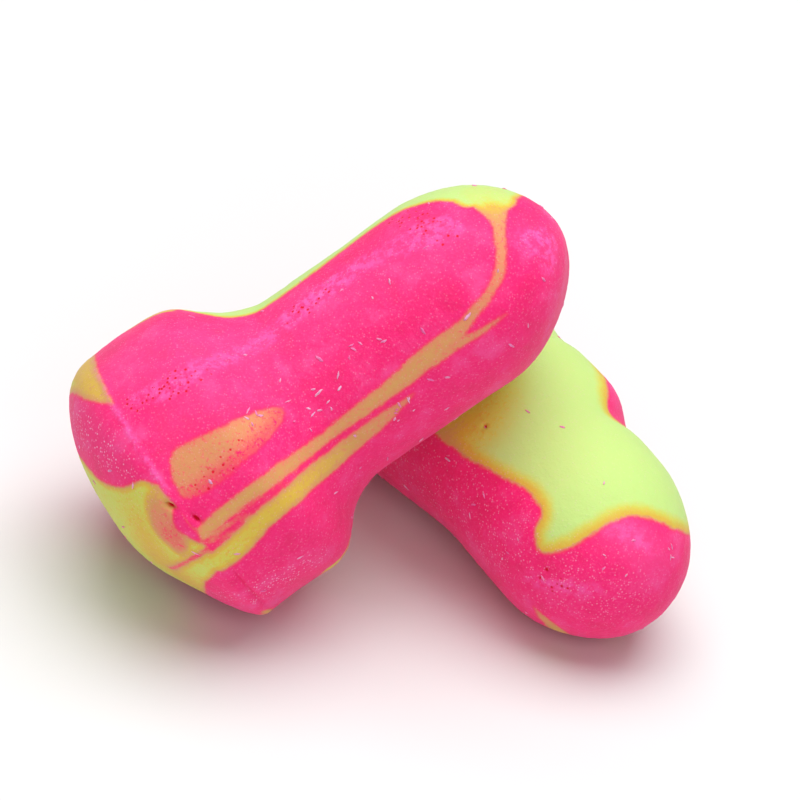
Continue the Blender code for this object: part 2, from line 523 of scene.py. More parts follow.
# The long stripe from the rim, its curl, and the band it joins near the tip.
upper_marble.yellow_stroke([
    (9.3, 246.5, 0.36, 0.78), (10.4, 245, 0.43, 0.80), (12.4, 243.5, 0.42, 0.80),
    (14.2, 244.5, 0.43, 0.78), (16.2, 248, 0.38, 0.76), (17.8, 250.2, 0.36, 0.76),
    (19.3, 250.3, 0.41, 0.76), (22.2, 249, 0.52, 0.76), (24.5, 246, 0.60, 0.75),
    (26.0, 244.3, 0.46, 0.73), (27.3, 241, 0.33, 0.70), (28.7, 236.5, 0.29, 0.67),
    (29.7, 231, 0.31, 0.67), (30.4, 222, 0.33, 0.69), (31.0, 209, 0.36, 0.71),
    (31.35, 198, 0.46, 0.76), (31.5, 188, 0.74, 0.84), (31.6, 178, 1.10, 0.92), (31.7, 166, 1.60, 0.97),
])
upper_marble.yellow_stroke([
    (24.2, 250.5, 0.30, 0.74), (26.2, 250.3, 0.23, 0.72), (27.3, 251.4, 0.19, 0.70),
    (28.2, 252.2, 0.15, 0.68), (28.8, 253, 0.05, 0.62),
])
# The second stripe, which fades half way up the stem, and the thin salmon that starts between the two.
upper_marble.yellow_stroke([
    (8.6, 259, 0.60, 0.93), (10.0, 258.8, 0.74, 0.92), (11.3, 256.8, 0.70, 0.90),
    (12.5, 254.9, 0.65, 0.89), (13.6, 254.8, 0.63, 0.88), (15.1, 257.3, 0.62, 0.87),
    (16.3, 260.4, 0.62, 0.85), (17.5, 263.4, 0.63, 0.82), (18.8, 264.4, 0.58, 0.77),
    (20.2, 263.3, 0.48, 0.73), (21.3, 262.2, 0.34, 0.69), (22.7, 260.5, 0.05, 0.60),
])
upper_marble.yellow_stroke([
    (9.8, 250.4, 0.30, 0.66), (11.3, 249.5, 0.26, 0.62), (12.8, 248.7, 0.16, 0.58), (14.6, 250, 0.05, 0.50),
])
# The yellow side behind, with its broad band over the tip and its thin edge at the neck.
upper_marble.yellow_patch([
    (13.6, 136), (15, 142), (17.3, 156), (20, 157), (21.8, 155), (24.5, 152), (26.4, 154), (28.2, 161),
    (29.5, 169), (30.4, 182), (32.6, 182), (33.4, 166), (33.7, 150), (33.9, 128), (32.8, 104), (30, 88),
    (25.5, 78), (20, 74), (15.5, 88), (13.2, 112),
], 1.0)
upper_marble.yellow_stroke([(10.8, 139, 0.08, 0.95), (12.2, 140, 0.26, 0.97), (13.8, 141, 0.40, 0.98)])
# A salmon patch on the flange, washed with pink along its low side and towards the neck.
upper_marble.yellow_patch([
    (10.3, 216.3), (10.9, 214.3), (12.3, 215.6), (13.7, 217.2), (15.0, 217.9), (16.1, 219.8), (16.8, 222.5),
    (16.9, 226), (16.5, 229), (15.7, 231), (14.2, 232.4), (12.9, 233), (11.5, 233.8), (10.3, 233),
    (9.8, 230), (9.9, 223),
], 0.69)
upper_marble.veil_stroke([
    (10.2, 233, 0.45, 0.30), (12.0, 232.5, 0.50, 0.36), (13.8, 231, 0.45, 0.34), (15.4, 229, 0.40, 0.28),
    (16.7, 225.5, 0.40, 0.24), (17.1, 221, 0.30, 0.16),
], 0.75)
# Thin pink washes and threads over the yellow of the base.
upper_marble.veil_stroke([
    (7.0, 219, 0.6, 0.03), (6.0, 236, 0.9, 0.07), (5.2, 258, 1.2, 0.08), (5.6, 280, 1.2, 0.07),
], 1.3)
upper_marble.veil_stroke([
    (8.9, 222, 0.20, 0.12), (8.3, 229, 0.60, 0.26), (7.9, 237, 0.80, 0.36), (7.8, 244, 0.60, 0.42),
    (7.5, 248, 0.25, 0.38),
], 0.45)
upper_marble.pink_stroke([(9.2, 234, 0.22), (8.9, 239, 0.34), (9.1, 244, 0.26), (9.2, 247, 0.05)])
upper_marble.pink_stroke([
    (5.2, 266, 0.02), (6.5, 259, 0.05), (7.9, 254, 0.08), (9.4, 252, 0.08), (10.7, 250.6, 0.07),
    (12.4, 249, 0.07), (14, 249, 0.06), (16, 252.8, 0.06), (18, 256, 0.06),
])
# Two traces of yellow at the low edge of the flange.
upper_marble.yellow_stroke([
    (12.4, 311, 0.08, 0.90), (13.1, 309, 0.42, 0.95), (13.8, 311.5, 0.38, 0.95),
    (14.4, 312.5, 0.24, 0.92), (14.9, 312, 0.05, 0.90),
])
upper_marble.yellow_stroke([(9.2, 300, 0.05, 0.90), (9.3, 306, 0.22, 0.90), (9.3, 316, 0.20, 0.90)])
# Swirls of the far side and the underside.
upper_marble.pink_stroke([
    (32.6, 116, 0.03), (30.6, 109, 0.22), (27, 103, 0.36), (22.5, 99, 0.42), (18.5, 102, 0.30),
    (15.6, 111, 0.14), (13.4, 124, 0.03),
])
upper_marble.pink_stroke([
    (24.5, 127, 0.02), (21.5, 122, 0.14), (18, 122, 0.18), (15.2, 129, 0.08), (13.8, 134, 0.02),
])
upper_marble.yellow_stroke([
    (10.4, 108, 0.06, 0.68), (12.2, 92, 0.26, 0.74), (15.5, 73, 0.34, 0.78), (20, 62, 0.36, 0.78),
    (25, 63, 0.30, 0.76), (29.5, 74, 0.24, 0.74), (32.2, 92, 0.12, 0.70),
])
upper_marble.yellow_stroke([
    (6.5, 70, 0.5, 0.90), (10, 60, 0.7, 0.85), (15, 48, 0.6, 0.80), (20, 40, 0.5, 0.78),
    (25, 34, 0.4, 0.75), (29, 20, 0.35, 0.72), (32, -8, 0.2, 0.68),
])
upper_marble.yellow_patch([
    (12, 345), (16, 338), (22, 342), (27, 350), (29, 360), (25, 368), (18, 366), (13, 358),
], 0.98)


def off_the_floor(points):
    """0 where the foam touches the floor, 1 a little above it."""
    return eased(points[:, 2], 0.2 * MM, 0.6 * MM)


upper_clear = off_the_floor(upper_points)
# Where the holes are and the crease is painted darker as painted shade, where the pink is
# painted paler as painted light on its lit upper side, a lobe of the base and the tip, where
# the skin is scuffed to a lilac bloom, where its pores stand open, where it is frosted, and
# where flakes of it stand up.
upper_marble.paint(upper_foam.data, {
    "hollow": upper_dark,
    "pale": upper_marble.wash([
        [(10.8, 172, 2.0, 0.9), (13.0, 178, 2.0, 0.8), (17.0, 182, 2.0, 0.7), (22.0, 186, 2.0, 0.6),
         (27.0, 192, 2.0, 0.7), (29.0, 196, 1.4, 0.6)],
        [(32.6, 222, 1.0, 0.7), (33.6, 240, 1.2, 0.7)],
        [(8.2, 182, 0.7, 0.6), (8.6, 205, 0.6, 0.6)],
        [(10.4, 212, 0.8, 0.5), (11.8, 204, 1.2, 0.6), (16, 206, 1.2, 0.5), (21, 212, 1.2, 0.3)],
    ], 1.6) + 0.05,
    "bloom_and_highlight": upper_marble.wash([
        [(10.5, 188, 0.4, 0.5), (12.5, 193, 0.6, 0.8), (15, 190, 0.5, 0.5), (18, 184, 0.5, 0.6),
         (20.4, 179, 0.6, 0.9), (23.4, 178, 0.6, 0.8), (25.5, 182, 0.5, 0.6), (27.5, 186, 0.9, 0.7),
         (28.8, 190, 0.8, 0.6)],
        [(32.0, 225, 0.7, 0.6), (33.2, 236, 0.8, 0.8), (32.5, 250, 0.7, 0.6)],
        [(9.35, 150, 0.05, 0.5), (9.35, 180, 0.08, 0.8), (9.35, 205, 0.10, 1.0), (9.35, 222, 0.08, 1.0),
         (9.3, 230, 0.05, 0.6)],
    ], 0.25),
    "pores": upper_marble.wash([
        [(10.3, 191, 0.4, 0.5), (11.5, 192, 0.6, 0.9), (13.4, 193, 0.6, 0.9), (14.4, 193, 0.4, 0.4)],
        [(19.5, 180, 0.4, 0.3), (20.4, 179, 0.5, 0.6), (22.0, 178, 0.4, 0.4)],
        [(26.8, 160, 0.5, 0.3), (28.0, 178, 0.7, 0.6), (28.6, 197, 0.5, 0.3)],
        [(10.8, 230, 0.4, 0.3), (12.6, 229, 0.5, 0.5), (14.0, 226, 0.4, 0.3)],
    ], 0.3) + 0.01,
    "frost": upper_marble.wash([
        [(6.8, 160, 0.8, 0.8), (7.4, 180, 1.0, 1.0), (8.2, 210, 0.7, 0.9)],
        [(7.6, 284, 0.8, 0.8), (10.5, 285, 1.0, 1.0), (12.8, 290, 0.8, 0.7)],
    ], 0.5) + 0.25,
    "flakes": upper_marble.wash([
        [(14.5, 222, 0.5, 0.6), (17, 219, 0.9, 1.0), (19, 222, 0.8, 0.8), (22, 218, 0.9, 0.6),
         (24.1, 230, 0.8, 0.8), (26, 225, 0.6, 0.4)],
        [(14.6, 236, 0.3, 0.9), (17.5, 236, 0.5, 0.8), (20, 235, 0.4, 0.6)],
        [(20.5, 269, 0.4, 0.4), (23.5, 263, 0.6, 0.7), (25, 266, 0.5, 0.3)],
        [(9.6, 285, 0.3, 0.5), (12, 281, 0.6, 0.5), (14, 285, 0.4, 0.3)],
    ], 0.4) * upper_clear + 0.05 * upper_clear,
})

# ---------------------------------------------------------------------------------------------
# The foam's finish.
# Soft closed-pore foam with a matt, slightly downy skin: fine cells, pale scuffs where the skin
# tore as it left the mould, tiny open pores, and light that soaks in a little. Painted light
# makes the pink paler and lays a lilac highlight where light falls, and painted shade darkens
# a crease.
# ---------------------------------------------------------------------------------------------


def node_in(tree, kind, settings=None, **inputs):
    """A node with its settings, and its inputs set to values or linked to sockets."""
    made = tree.nodes.new(kind)
    for name, value in (settings or {}).items():
        setattr(made, name, value)
    for name, value in inputs.items():
        socket = made.inputs[int(name[1:])] if name[0] == "_" else made.inputs[name.replace("_", " ")]
        if isinstance(value, bpy.types.NodeSocket):
            tree.links.new(value, socket)
        else:
            socket.default_value = value
    return made


def worked(tree, operation, *values, clamp=False):
    """A Math node's result."""
    inputs = {f"_{index}": value for index, value in enumerate(values)}
    made = node_in(tree, "ShaderNodeMath", {"operation": operation, "use_clamp": clamp}, **inputs)
    return made.outputs[0]


def rise(tree, value, low, high):
    """0 below low, 1 above high, and a smooth rise between."""
    made = node_in(
        tree, "ShaderNodeMapRange", {"interpolation_type": "SMOOTHSTEP"},
        Value=value, From_Min=low, From_Max=high,
    )
    return made.outputs["Result"]


def mixed(tree, share, first, second):
    """Two colours mixed by a share."""
    made = node_in(tree, "ShaderNodeMix", {"data_type": "RGBA"}, _0=share, _6=first, _7=second)
    return made.outputs[2]


def noise_in(tree, place, scale, detail, roughness=0.5):
    """A noise over the foam, 0 to 1."""
    made = node_in(
        tree, "ShaderNodeTexNoise", Vector=place, Scale=scale, Detail=detail, Roughness=roughness,
    )
    return made.outputs["Fac"]


def group_with(name, inputs, outputs):
    """An empty shader group with these sockets, its input sockets and its output node."""
    tree = bpy.data.node_groups.new(name, "ShaderNodeTree")
    for label, kind, value in inputs:
        socket = tree.interface.new_socket(label, in_out="INPUT", socket_type=kind)
        if value is not None:
            socket.default_value = value
    for label, kind in outputs:
        tree.interface.new_socket(label, in_out="OUTPUT", socket_type=kind)
    return tree, tree.nodes.new("NodeGroupInput").outputs, tree.nodes.new("NodeGroupOutput")


# Colours of the mixes, from pure pink to pure yellow-green, by how much yellow there is.
MIX_COLOURS = [
    (0.00, (1.0, 0.015, 0.190, 1)), (0.22, (1.0, 0.030, 0.140, 1)), (0.45, (0.88, 0.13, 0.13, 1)),
    (0.62, (0.80, 0.27, 0.14, 1)), (0.76, (0.72, 0.36, 0.12, 1)), (0.88, (0.75, 0.50, 0.06, 1)),
    (0.94, (0.68, 0.68, 0.11, 1)), (1.00, (0.57, 0.80, 0.24, 1)),
]
# The edges between the mixes wander by a slow noise and this share of a quick one.
QUICK_SHARE = 0.6
WANDER_MIDDLE = 0.5 * (1 + QUICK_SHARE)
# How yellow the yellow still is at its edge, before it glows further in.
EDGE_YELLOW = 0.86
# How much pink the grains of a thin mix hold.
GRAIN_PINK = 0.75

mix_group, taken, given = group_with(
    "foam_mix",
    [("Place", "NodeSocketVector", None), ("Depth", "NodeSocketFloat", 0.0),
     ("Rich", "NodeSocketFloat", 1.0), ("Edge", "NodeSocketFloat", 0.15),
     ("Glow", "NodeSocketFloat", 0.5), ("Ragged", "NodeSocketFloat", 0.2)],
    [("Color", "NodeSocketColor"), ("Yellow", "NodeSocketFloat")],
)
slow = noise_in(mix_group, taken["Place"], 1.3, 3.0)
quick = noise_in(mix_group, taken["Place"], 5.5, 2.0)
wander = worked(mix_group, "ADD", slow, worked(mix_group, "MULTIPLY", quick, QUICK_SHARE))
wander = worked(mix_group, "SUBTRACT", wander, WANDER_MIDDLE)
shifted = worked(mix_group, "MULTIPLY_ADD", wander, taken["Ragged"], taken["Depth"])
below = worked(mix_group, "MULTIPLY", taken["Edge"], -1.0)
yellow = rise(mix_group, shifted, below, taken["Edge"])
glow = rise(mix_group, shifted, 0.0, taken["Glow"])
glow = worked(mix_group, "MULTIPLY_ADD", glow, 1 - EDGE_YELLOW, EDGE_YELLOW)
# Thin mixes are speckled: grains of them hold more pink.
grains = rise(mix_group, noise_in(mix_group, taken["Place"], 5.0, 3.0, 0.7), 0.50, 0.72)
poor = worked(mix_group, "SUBTRACT", 1.0, taken["Rich"])
poor = worked(mix_group, "MULTIPLY", poor, grains)
rich = worked(mix_group, "MULTIPLY_ADD", poor, -GRAIN_PINK, taken["Rich"])
share = worked(mix_group, "MULTIPLY", yellow, rich)
share = worked(mix_group, "MULTIPLY", share, glow, clamp=True)
ramp = node_in(mix_group, "ShaderNodeValToRGB", Fac=share)
stops = ramp.color_ramp.elements
while len(stops) < len(MIX_COLOURS):
    stops.new(0.5)
for stop, (at, colour) in zip(stops, MIX_COLOURS):
    stop.position = at
    stop.color = colour
mix_group.links.new(ramp.outputs["Color"], given.inputs["Color"])
mix_group.links.new(yellow, given.inputs["Yellow"])

# How high the cells and the frost stand, and how deep the pores are, in the foam's bump.
CELL_HEIGHT = 0.35
FROST_HEIGHT = 0.4
PORE_DEPTH = 1.2
# How much the patches decide where frost lies, and how open a place is where its pores begin.
PATCH_SHARE = 0.6
PORES_BEGIN = 0.02

cell_group, taken, given = group_with(
    "foam_cells",
    [("Place", "NodeSocketVector", None), ("Open", "NodeSocketFloat", 0.0)],
    [("Frost", "NodeSocketFloat"), ("Pores", "NodeSocketFloat"), ("Mottle", "NodeSocketFloat"),
     ("Grain", "NodeSocketFloat"), ("Patches", "NodeSocketFloat"), ("Height", "NodeSocketFloat")],
)
place = taken["Place"]
fine = noise_in(cell_group, place, 7.0, 3.0, 0.7)
patches = noise_in(cell_group, place, 2.2, 4.0, 0.7)
mottle = noise_in(cell_group, place, 0.55, 4.0, 0.6)
cells = node_in(cell_group, "ShaderNodeTexVoronoi", Vector=place, Scale=5.0)
# Frost is a share of small specks, thicker in patches.
specks = node_in(cell_group, "ShaderNodeTexVoronoi", Vector=place, Scale=9.0)
chance = node_in(cell_group, "ShaderNodeSeparateColor", Color=specks.outputs["Color"])
speck = worked(cell_group, "SUBTRACT", 1.0, rise(cell_group, specks.outputs["Distance"], 0.05, 0.60))
bright = worked(cell_group, "MULTIPLY_ADD", patches, PATCH_SHARE, chance.outputs["Red"])
frost = worked(cell_group, "MULTIPLY", speck, rise(cell_group, bright, 0.85, 1.35))
# Pores are a share of larger spots, as many as Open says.
spots = node_in(cell_group, "ShaderNodeTexVoronoi", Vector=place, Scale=4.4)
luck = node_in(cell_group, "ShaderNodeSeparateColor", Color=spots.outputs["Color"])
hollow = worked(cell_group, "SUBTRACT", 1.0, rise(cell_group, spots.outputs["Distance"], 0.18, 0.44))
rare = worked(cell_group, "SUBTRACT", 1 + PORES_BEGIN, taken["Open"])
often = worked(cell_group, "GREATER_THAN", luck.outputs["Green"], rare)
pores = worked(cell_group, "MULTIPLY", hollow, often)
height = worked(cell_group, "MULTIPLY_ADD", cells.outputs["Distance"], CELL_HEIGHT, fine)
height = worked(cell_group, "MULTIPLY_ADD", pores, -PORE_DEPTH, height)
height = worked(cell_group, "MULTIPLY_ADD", frost, FROST_HEIGHT, height)
for label, made in (
    ("Frost", frost), ("Pores", pores), ("Mottle", mottle),
    ("Grain", fine), ("Patches", patches), ("Height", height),
):
    cell_group.links.new(made, given.inputs[label])

PALE_PINK = (1.0, 0.13, 0.42, 1)
DEEP_PINK = (0.84, 0.008, 0.12, 1)
LILAC = (1.0, 0.14, 0.52, 1)
FROST = (1.0, 0.50, 0.74, 1)
HOLLOW_RED = (0.80, 0.0, 0.025, 1)
# Where the pink turns paler or deeper: the pattern, where it starts and is full, how much of the
# other pink there is, and which pink.
PINK_TURNS = [
    ("Mottle", 0.48, 0.75, 0.45, PALE_PINK), ("Mottle", 0.50, 0.30, 0.45, DEEP_PINK),
    ("Grain", 0.50, 0.78, 0.35, PALE_PINK), ("Grain", 0.48, 0.22, 0.35, DEEP_PINK),
]
# How much paler the pink is painted where the pale field lays painted light on it.
PAINTED_PALING_SHARE = 0.30
# The broken lilac of scuffs and painted highlights, where thin and where thick, as shares.
LILAC_THIN = 0.10
LILAC_THICK = 0.85
# The foam's roughness where its mottle is least, and how much it rises.
ROUGH = 0.58
ROUGH_RISE = 0.2
FOAM_SURFACE = {
    "Specular IOR Level": 0.25,
    "Sheen Weight": 0.10,
    "Sheen Roughness": 0.45,
    "Sheen Tint": (1.0, 0.86, 0.92, 1),
    "Subsurface Weight": 0.18,
    "Subsurface Radius": (1.0, 0.35, 0.35),
    "Subsurface Scale": 0.0009,
}


def foam(name, edge, glow, ragged):
    """A foam material: the poured mixes, their mottle, scuffs, frost, pores, fine cells and painted light.
    """
    made = bpy.data.materials.new(name)
    made.use_nodes = True
    tree = made.node_tree
    skin = tree.nodes["Principled BSDF"]
    spot = node_in(tree, "ShaderNodeTexCoord").outputs["Object"]
    in_mm = node_in(tree, "ShaderNodeMapping", Vector=spot, Scale=(1000, 1000, 1000)).outputs["Vector"]

    def field(label):
        return node_in(tree, "ShaderNodeAttribute", {"attribute_name": label}).outputs["Fac"]

    mix = node_in(
        tree, "ShaderNodeGroup", {"node_tree": mix_group},
        Place=in_mm, Depth=field("mix_depth"), Rich=field("mix_rich"), Edge=edge, Glow=glow, Ragged=ragged,
    )
    cells = node_in(tree, "ShaderNodeGroup", {"node_tree": cell_group}, Place=in_mm, Open=field("pores"))
    pink = worked(tree, "SUBTRACT", 1.0, mix.outputs["Yellow"])
    colour = mix.outputs["Color"]
    for pattern, start, full, share, other in PINK_TURNS:
        amount = worked(tree, "MULTIPLY", rise(tree, cells.outputs[pattern], start, full), pink)
        colour = mixed(tree, worked(tree, "MULTIPLY", amount, share), colour, other)
    # Painted light: the pink is painted paler where the pale field is high, on its lit sides.
    painted_paling = worked(tree, "MULTIPLY", field("pale"), pink)
    painted_paling = worked(tree, "MULTIPLY", painted_paling, PAINTED_PALING_SHARE)
    colour = mixed(tree, painted_paling, colour, PALE_PINK)
    # Scuffed skin is a broken lilac bloom; the same lilac also makes a painted highlight on a tip.
    broken = rise(tree, cells.outputs["Patches"], 0.42, 0.60)
    broken = worked(tree, "MULTIPLY_ADD", broken, LILAC_THICK - LILAC_THIN, LILAC_THIN)
    scuff_and_highlight = worked(tree, "MULTIPLY", broken, field("bloom_and_highlight"))
    colour = mixed(tree, scuff_and_highlight, colour, LILAC)
    frost = worked(tree, "MULTIPLY", cells.outputs["Frost"], field("frost"), clamp=True)
    colour = mixed(tree, frost, colour, FROST)
    # Pores and holes are darkened red; the crease is darkened the same way, as painted shade.
    dark = worked(tree, "MAXIMUM", cells.outputs["Pores"], rise(tree, field("hollow"), 0.25, 0.7))
    colour = mixed(tree, dark, colour, HOLLOW_RED)
    tree.links.new(colour, skin.inputs["Base Color"])
    rough = worked(tree, "MULTIPLY_ADD", cells.outputs["Mottle"], ROUGH_RISE, ROUGH)
    tree.links.new(rough, skin.inputs["Roughness"])
    bump = node_in(
        tree, "ShaderNodeBump", Height=cells.outputs["Height"], Strength=0.35, Distance=0.00006,
    )
    tree.links.new(bump.outputs["Normal"], skin.inputs["Normal"])
    for label, value in FOAM_SURFACE.items():
        skin.inputs[label].default_value = value
    return made


upper_foam.data.materials.append(foam("pink_foam", edge=0.16, glow=0.5, ragged=0.22))
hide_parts("upper_plug")
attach(upper_foam, "upper")

# ---------------------------------------------------------------------------------------------
# The upper plug's torn skin.
# Pale flakes and threads of the foam's own thin moulded skin. They were rubbed up where the plug
# was handled, and cling to it there.
# ---------------------------------------------------------------------------------------------
# Flakes per square metre, their sizes in metres, and how bent they are.
FLAKES = {"Density": 1.6e6, "Length": 0.00024, "Width": 0.00007, "Thickness": 0.00004, "Curl": 2.4}
UPPER_FLAKE_SEED = 4
KINDS_OF_FLAKE = 3
# The shortest and longest, and the narrowest and widest, as shares of Length and Width.
LENGTH_SHARES = (0.35, 1.0)
WIDTH_SHARES = (0.45, 1.15)
WIDTH_SEED = 3


def flake_tree():
    """Scatters small flat flakes over a surface, as dense as its 'flakes' attribute says."""
    tree = bpy.data.node_groups.new("torn_skin_flakes", "GeometryNodeTree")
    tree.interface.new_socket("Surface", in_out="INPUT", socket_type="NodeSocketGeometry")
    for label, value in FLAKES.items():
        socket = tree.interface.new_socket(label, in_out="INPUT", socket_type="NodeSocketFloat")
        socket.default_value = value
    tree.interface.new_socket("Seed", in_out="INPUT", socket_type="NodeSocketInt")
    tree.interface.new_socket("Material", in_out="INPUT", socket_type="NodeSocketMaterial")
    tree.interface.new_socket("Flakes", in_out="OUTPUT", socket_type="NodeSocketGeometry")
    taken = tree.nodes.new("NodeGroupInput").outputs
    given = tree.nodes.new("NodeGroupOutput")

    where = node_in(tree, "GeometryNodeInputNamedAttribute", {"data_type": "FLOAT"}, Name="flakes")
    dense = worked(tree, "MULTIPLY", where.outputs["Attribute"], taken["Density"])
    points = node_in(
        tree, "GeometryNodeDistributePointsOnFaces",
        Mesh=taken["Surface"], Density=dense, Seed=taken["Seed"],
    )

    # Each kind of flake is a small bead bent by its own noise.
    bead = node_in(tree, "GeometryNodeMeshIcoSphere", Radius=1.0, Subdivisions=2)
    kinds = node_in(tree, "GeometryNodeGeometryToInstance")
    for kind in range(KINDS_OF_FLAKE):
        curl = node_in(
            tree, "ShaderNodeTexNoise", {"noise_dimensions": "4D"}, Scale=2.2, W=7.0 * kind + 3.0,
        )
        middle = node_in(
            tree, "ShaderNodeVectorMath", {"operation": "SUBTRACT"},
            _0=curl.outputs["Color"], _1=(0.5, 0.5, 0.5),
        )
        bent = node_in(
            tree, "ShaderNodeVectorMath", {"operation": "SCALE"},
            _0=middle.outputs[0], Scale=taken["Curl"],
        )
        moved = node_in(
            tree, "GeometryNodeSetPosition", Geometry=bead.outputs["Mesh"], Offset=bent.outputs[0],
        )
        tree.links.new(moved.outputs["Geometry"], kinds.inputs["Geometry"])

    # They lie flat on the skin, turned and sized at random.
    spin = node_in(
        tree, "FunctionNodeRandomValue", {"data_type": "FLOAT"},
        _2=0.0, _3=2 * math.pi, Seed=taken["Seed"],
    )
    about = node_in(tree, "ShaderNodeCombineXYZ", Z=spin.outputs[1])
    turned = node_in(
        tree, "FunctionNodeRotateRotation", {"rotation_space": "LOCAL"},
        Rotation=points.outputs["Rotation"], Rotate_By=about.outputs[0],
    )
    longer = node_in(
        tree, "FunctionNodeRandomValue", {"data_type": "FLOAT"}, _2=LENGTH_SHARES[0], _3=LENGTH_SHARES[1],
    )
    wider = node_in(
        tree, "FunctionNodeRandomValue", {"data_type": "FLOAT"},
        _2=WIDTH_SHARES[0], _3=WIDTH_SHARES[1], Seed=WIDTH_SEED,
    )
    size = node_in(
        tree, "ShaderNodeCombineXYZ",
        X=worked(tree, "MULTIPLY", longer.outputs[1], taken["Length"]),
        Y=worked(tree, "MULTIPLY", wider.outputs[1], taken["Width"]),
        Z=taken["Thickness"],
    )
    placed = node_in(
        tree, "GeometryNodeInstanceOnPoints",
        Points=points.outputs["Points"], Instance=kinds.outputs["Instances"], Pick_Instance=True,
        Rotation=turned.outputs["Rotation"], Scale=size.outputs[0],
    )
    real = node_in(tree, "GeometryNodeRealizeInstances", _0=placed.outputs["Instances"])
    finish = node_in(
        tree, "GeometryNodeSetMaterial", Geometry=real.outputs[0], Material=taken["Material"],
    )
    tree.links.new(finish.outputs["Geometry"], given.inputs["Flakes"])
    return tree


scatter = flake_tree()


def flakes_on(foam_piece, name, material, values):
    """A plain mesh of the flakes that the tree scatters over a piece."""
    carrier = bpy.data.objects.new("carrier", foam_piece.data.copy())
    bpy.context.collection.objects.link(carrier)
    modifier = carrier.modifiers.new("flakes", "NODES")
    modifier.node_group = scatter
    names = {item.name: item.identifier for item in scatter.interface.items_tree if item.in_out == "INPUT"}
    for label, value in {**values, "Material": material}.items():
        modifier[names[label]] = value
    evaluated = carrier.evaluated_get(bpy.context.evaluated_depsgraph_get())
    mesh = bpy.data.meshes.new_from_object(evaluated)
    mesh.name = name
    mesh.shade_smooth()
    carrier_mesh = carrier.data
    bpy.data.objects.remove(carrier)
    bpy.data.meshes.remove(carrier_mesh)
    made = bpy.data.objects.new(name, mesh)
    bpy.context.collection.objects.link(made)
    return made


FLAKE_PINK = (1.0, 0.14, 0.42, 1)
FLAKE_PALE = (1.0, 0.42, 0.66, 1)
FLAKE_TONE_SCALE = 900.0

torn_skin = bpy.data.materials.new("torn_skin")
torn_skin.use_nodes = True
tree = torn_skin.node_tree
spot = node_in(tree, "ShaderNodeTexCoord").outputs["Object"]
tone = node_in(tree, "ShaderNodeTexNoise", Vector=spot, Scale=FLAKE_TONE_SCALE)
pale_or_pink = mixed(tree, rise(tree, tone.outputs["Fac"], 0.35, 0.65), FLAKE_PINK, FLAKE_PALE)
skin = tree.nodes["Principled BSDF"]
tree.links.new(pale_or_pink, skin.inputs["Base Color"])
skin.inputs["Roughness"].default_value = 0.6
skin.inputs["Subsurface Weight"].default_value = 0.3
skin.inputs["Subsurface Scale"].default_value = 0.0005

upper_flakes = flakes_on(
    upper_foam, "upper_plug_torn_skin", torn_skin, {**FLAKES, "Seed": UPPER_FLAKE_SEED},
)
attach(upper_flakes, "upper")

# ---------------------------------------------------------------------------------------------
# The lower plug.
# A second plug from the same mould, lying on its side. Its flange is pressed askew by the plug
# that leans over it, and the shoulder bulges on the open side.
# ---------------------------------------------------------------------------------------------
LOWER_HEADING = math.radians(-45.0)
LOWER_TILT = math.radians(-7.33)
LOWER_OUTLINE = [
    (3.8, 7.00), (5.8, 7.05), (7.7, 7.0), (8.7, 6.75), (9.6, 6.4), (10.6, 6.0),
    (11.7, 5.65), (12.8, 5.5), (16.5, 5.40), (20.7, 5.30),
]
LOWER_FALL_SPREAD = 0.10
LOWER_FULL_SIDE = math.radians(60)
LOWER_SKEW = math.radians(6)
LOWER_SKEW_SIDE = math.radians(137)
LOWER_SKEW_ENDS = (9.0, 15.0)
LOWER_SWELLS = [
    (20.2, 137, 1.9, 28, 0.62), (22.9, 137, 0.7, 24, -0.25), (16.8, 312, 2.2, 25, 0.45),
    (21.5, 310, 2.0, 25, -0.12), (4.5, 215, 3.0, 35, -0.45), (14.4, 126, 1.8, 30, -0.48),
    (17.9, 142, 1.4, 26, 0.34), (21.4, 133, 1.0, 20, 0.16), (23.0, 130, 1.0, 24, -0.12),
]
LOWER_SETTLE = (-0.10, 0.10, 0.0)
# Its waves are read elsewhere in the same noise, so that they aren't the upper plug's again.
LOWER_WAVES_FROM = np.array([50.0, 0.0, 0.0])


def pressed_askew(height, angle):
    """How far the flange slides towards the tip: one side forward, the other back."""
    start, end = LOWER_SKEW_ENDS
    still_flange = 1 - eased(height, start, end)
    most = math.tan(LOWER_SKEW) * LOWER_OUTLINE[0][1]
    return most * np.cos(angle - LOWER_SKEW_SIDE) * still_flange


LOWER_DENTS = [
    (20.5, 225, 0.13, 0.13, 0, 0.30), (28.4, 257, 0.14, 0.12, 0, 0.20),
    (28.3, 265, 0.12, 0.12, 0, 0.15), (29.5, 261, 0.13, 0.10, 0, 0.15),
]
lower_skin = Skin(LOWER_OUTLINE, LOWER_FALL_SPREAD, LOWER_FULL_SIDE, LOWER_SWELLS)
lower_skin.lean = pressed_askew
along, angle = grid(lower_skin)
lower_plain = lower_skin.point(along, angle)
lower_lift = wrinkled(lower_plain + LOWER_WAVES_FROM)
lower_lift, lower_dark = dented(lower_lift, lower_skin, along, angle, LOWER_DENTS)
lower_even = Skin(LOWER_OUTLINE, LOWER_FALL_SPREAD, LOWER_FULL_SIDE, []).place(along, angle)
lower_points = lies_as(
    "lower_plug", lower_skin.point(along, angle, lower_lift), lower_even,
    LOWER_SETTLE, LOWER_HEADING, LOWER_TILT,
)
lower_foam = skin_mesh("lower_plug_foam", lower_points)

lower_marble = Marble(lower_skin, along, angle)
